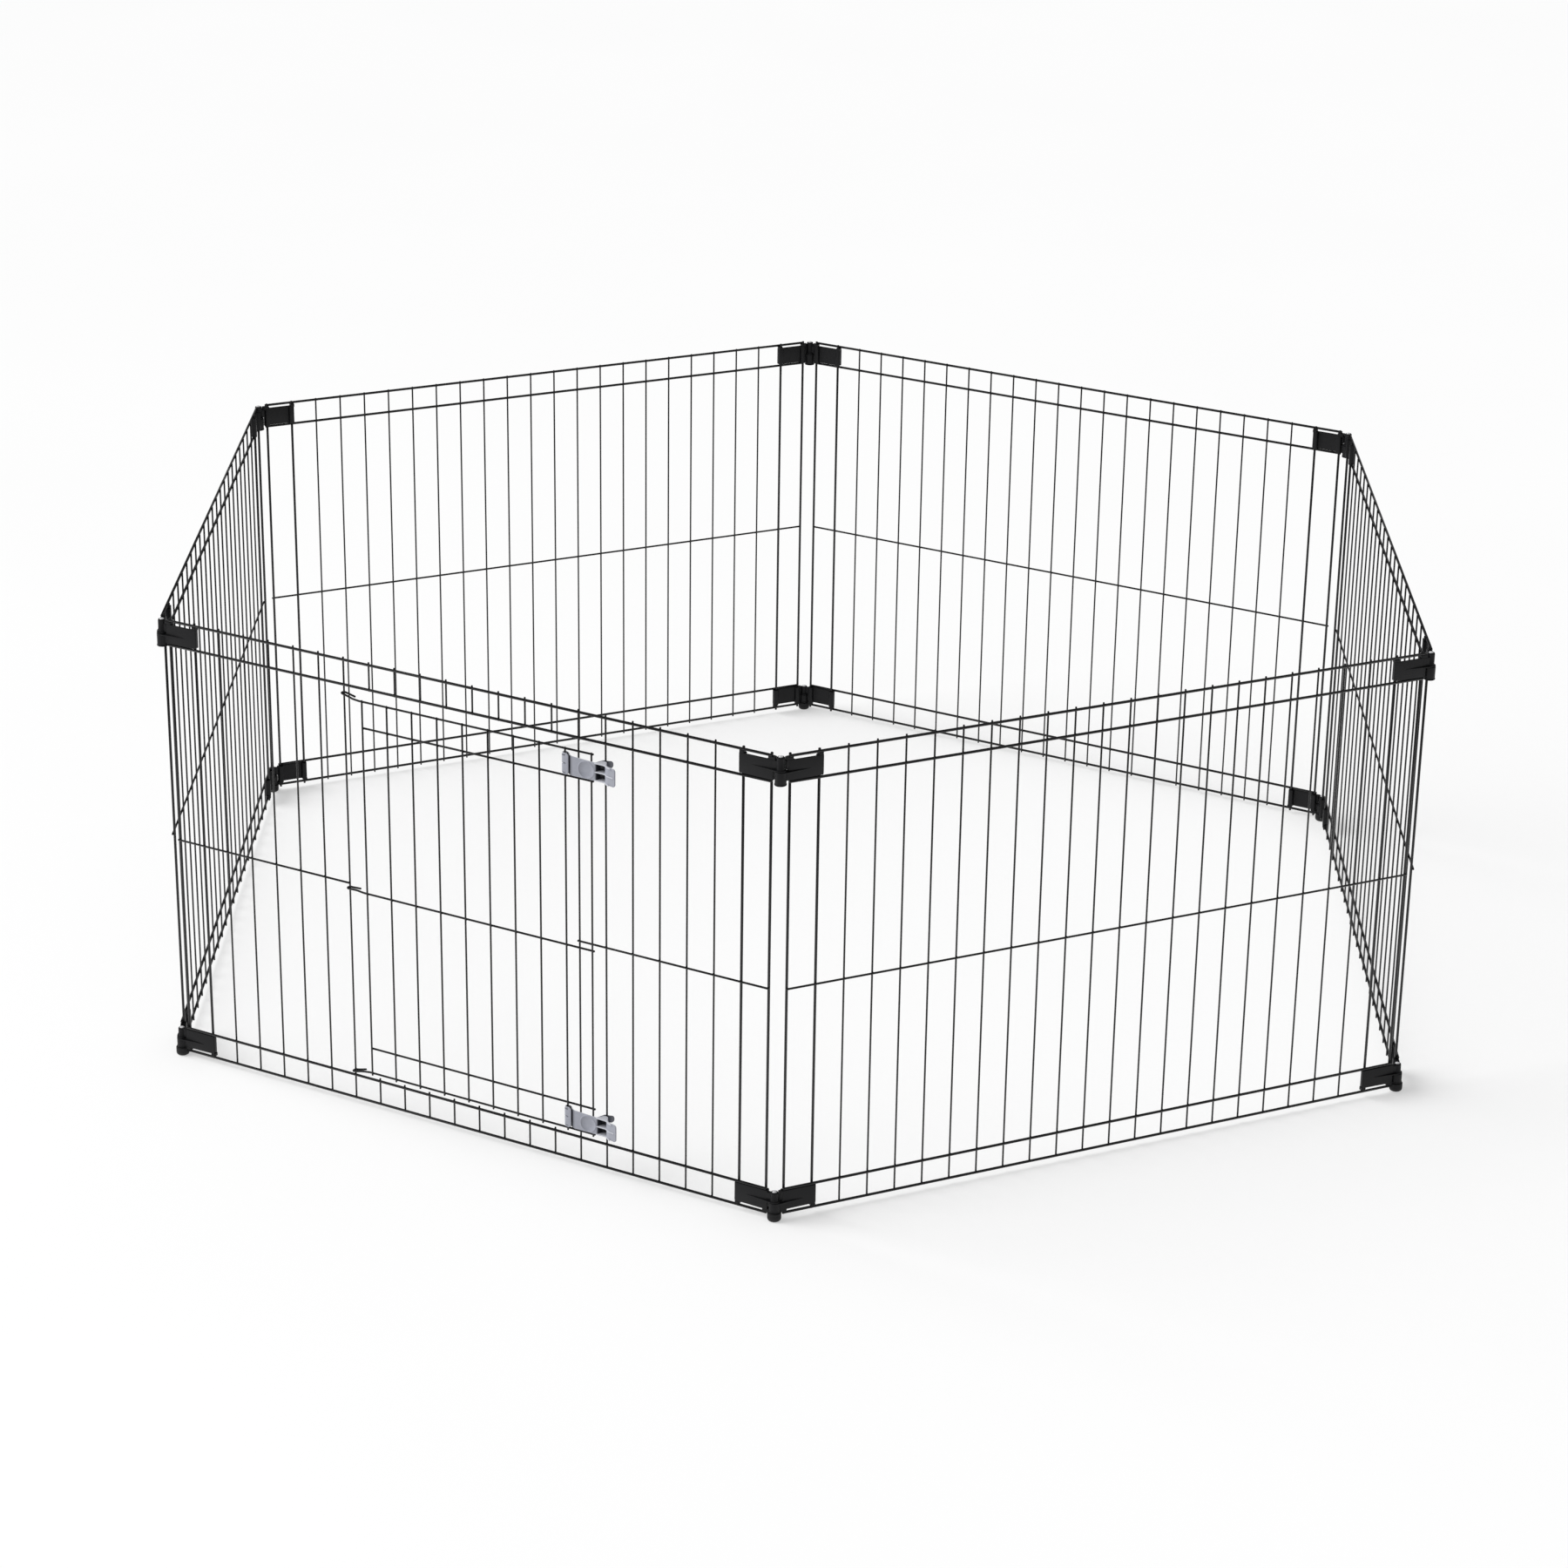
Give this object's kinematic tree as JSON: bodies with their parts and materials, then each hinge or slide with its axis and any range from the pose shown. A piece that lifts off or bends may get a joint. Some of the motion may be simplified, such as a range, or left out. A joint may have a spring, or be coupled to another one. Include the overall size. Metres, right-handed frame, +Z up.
{
  "type": "pet playpen",
  "caption": "Folding pet playpen: a ring of welded black wire panels on plastic corner hinges, with a hinged wire door held shut by grey snap latches.",
  "frame": {"origin": "centre of the whole object's footprint, on the floor that the six feet stand on", "axes": "+Z up; the door panel lies along X on the -Y side, so -Y is the side that the door opens to, and +X points to the right for someone outside who faces the door"},
  "size_m": [1.8806, 1.5451, 0.6215],
  "materials": {
    "wire": "glossy black powder coat on steel wire",
    "bracket": "satin black moulded plastic",
    "pin": "dark polished steel",
    "foot": "black rubber-like plastic",
    "latch": "satin blue-grey moulded plastic"
  },
  "bodies": {
    "front_panel": {"front_panel_wires_left": "wire", "front_panel_wires_right": "wire", "doorway_lintel_wires": "wire", "doorway_sill_wires": "wire", "front_panel_bracket_left_top": "bracket", "front_panel_bracket_left_bottom": "bracket", "front_panel_bracket_right_top": "bracket", "front_panel_bracket_right_bottom": "bracket", "front_left_corner_pin_top": "pin", "front_left_corner_pin_bottom": "pin", "front_left_corner_foot": "foot"},
    "front_right_panel": {"front_right_panel_wires": "wire", "front_right_panel_bracket_left_top": "bracket", "front_right_panel_bracket_left_bottom": "bracket", "front_right_panel_bracket_right_top": "bracket", "front_right_panel_bracket_right_bottom": "bracket", "front_right_corner_pin_top": "pin", "front_right_corner_pin_bottom": "pin", "front_right_corner_foot": "foot"},
    "back_right_panel": {"back_right_panel_wires": "wire", "back_right_panel_bracket_left_top": "bracket", "back_right_panel_bracket_left_bottom": "bracket", "back_right_panel_bracket_right_top": "bracket", "back_right_panel_bracket_right_bottom": "bracket", "right_corner_pin_top": "pin", "right_corner_pin_bottom": "pin", "right_corner_foot": "foot"},
    "back_panel": {"back_panel_wires": "wire", "back_panel_bracket_left_top": "bracket", "back_panel_bracket_left_bottom": "bracket", "back_panel_bracket_right_top": "bracket", "back_panel_bracket_right_bottom": "bracket", "back_right_corner_pin_top": "pin", "back_right_corner_pin_bottom": "pin", "back_right_corner_foot": "foot"},
    "back_left_panel": {"back_left_panel_wires": "wire", "back_left_panel_bracket_left_top": "bracket", "back_left_panel_bracket_left_bottom": "bracket", "back_left_panel_bracket_right_top": "bracket", "back_left_panel_bracket_right_bottom": "bracket", "back_left_corner_pin_top": "pin", "back_left_corner_pin_bottom": "pin", "back_left_corner_foot": "foot"},
    "front_left_panel": {"front_left_panel_wires": "wire", "front_left_panel_bracket_left_top": "bracket", "front_left_panel_bracket_left_bottom": "bracket", "front_left_panel_bracket_right_top": "bracket", "front_left_panel_bracket_right_bottom": "bracket", "left_corner_pin_top": "pin", "left_corner_pin_bottom": "pin", "left_corner_foot": "foot"},
    "door": {"door_wires": "wire"},
    "latch_top": {"latch_top": "latch", "latch_jaw_top": "latch"},
    "latch_bottom": {"latch_bottom": "latch", "latch_jaw_bottom": "latch"}
  },
  "joints": [
    {"name": "front_right_corner_hinge", "type": "hinge", "parent": "front_panel", "child": "front_right_panel", "pos_m": [0.3929, -0.75477, 0.3], "axis": [0, 0, 1], "range_deg": [-52, 80]},
    {"name": "right_corner_hinge", "type": "hinge", "parent": "front_right_panel", "child": "back_right_panel", "pos_m": [0.93154, -0.03213, 0.3], "axis": [0, 0, 1], "range_deg": [-40, 26]},
    {"name": "back_right_corner_hinge", "type": "hinge", "parent": "back_right_panel", "child": "back_panel", "pos_m": [0.5084, 0.76367, 0.3], "axis": [0, 0, 1], "range_deg": [-40, 26]},
    {"name": "front_left_corner_hinge", "type": "hinge", "parent": "front_panel", "child": "front_left_panel", "pos_m": [-0.5084, -0.75477, 0.3], "axis": [0, 0, 1], "range_deg": [-26, 40]},
    {"name": "left_corner_hinge", "type": "hinge", "parent": "front_left_panel", "child": "back_left_panel", "pos_m": [-0.93154, 0.04103, 0.3], "axis": [0, 0, 1], "range_deg": [-26, 40]},
    {"name": "door_hinge", "type": "hinge", "parent": "front_panel", "child": "door", "pos_m": [-0.2292, -0.75431, 0.31], "axis": [0, 0, -1], "range_deg": [0, 155]},
    {"name": "latch_top_pivot", "type": "hinge", "parent": "door", "child": "latch_top", "pos_m": [0.09943, -0.76238, 0.55175], "axis": [0, 0, -1], "range_deg": [0, 100], "deforming": ["latch_jaw_top"]},
    {"name": "latch_bottom_pivot", "type": "hinge", "parent": "door", "child": "latch_bottom", "pos_m": [0.09943, -0.76238, 0.07065], "axis": [0, 0, -1], "range_deg": [0, 100], "deforming": ["latch_jaw_bottom"]}
  ],
  "couplings": [
    {"joint": "right_corner_hinge", "follows": "front_right_corner_hinge", "ratio": -0.5},
    {"joint": "back_right_corner_hinge", "follows": "front_right_corner_hinge", "ratio": -0.5},
    {"joint": "front_left_corner_hinge", "follows": "front_right_corner_hinge", "ratio": 0.5},
    {"joint": "left_corner_hinge", "follows": "front_right_corner_hinge", "ratio": 0.5}
  ]
}
